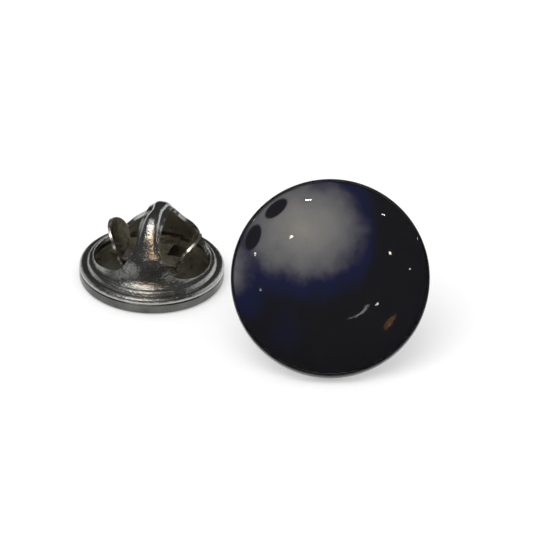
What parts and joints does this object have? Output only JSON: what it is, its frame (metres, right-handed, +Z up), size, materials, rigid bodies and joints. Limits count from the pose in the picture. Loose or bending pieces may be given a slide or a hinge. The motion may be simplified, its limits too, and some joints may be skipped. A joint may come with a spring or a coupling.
{
  "type": "lapel badge",
  "caption": "Round domed lapel badge with a printed picture under clear resin, leaning on its pin post, beside its sprung butterfly clutch.",
  "frame": {"origin": "centre of the bounding box, on the table both pieces rest on", "axes": "+X from the clutch towards the badge, +Y away from the badge's front, +Z up"},
  "size_m": [0.0284, 0.0218, 0.0133],
  "materials": {
    "tray_nickel": "polished nickel plate",
    "picture_print": "printed, satin",
    "lens_resin": "clear, high gloss",
    "post_steel": "plated steel",
    "clutch_chrome": "dark bright nickel plate",
    "cup_chrome": "dark bright nickel plate",
    "spring_steel": "plated spring steel"
  },
  "bodies": {
    "badge": {"badge_base": "tray_nickel", "artwork_disc": "picture_print", "clear_dome": "lens_resin", "post": "post_steel"},
    "clutch": {"clutch_shell": "clutch_chrome", "clutch_cup": "cup_chrome", "spring_bow": "spring_steel"},
    "wing_left": {"left_wing": "spring_steel"},
    "wing_right": {"right_wing": "spring_steel"}
  },
  "joints": [
    {"name": "clutch_lift", "type": "slide", "parent": "badge", "child": "clutch", "axis": [0, 0, 1], "range_m": [0, 0.02]},
    {"name": "left_wing_squeeze", "type": "hinge", "parent": "clutch", "child": "wing_left", "pos_m": [-0.01072, 0.00569, 0.00165], "axis": [0.2756, 0.9613, 0], "range_deg": [0, 12], "stiffness_Nm_per_rad": 0.02},
    {"name": "right_wing_squeeze", "type": "hinge", "parent": "clutch", "child": "wing_right", "pos_m": [-0.00585, 0.00429, 0.00165], "axis": [-0.2756, -0.9613, 0], "range_deg": [0, 12], "stiffness_Nm_per_rad": 0.02}
  ]
}
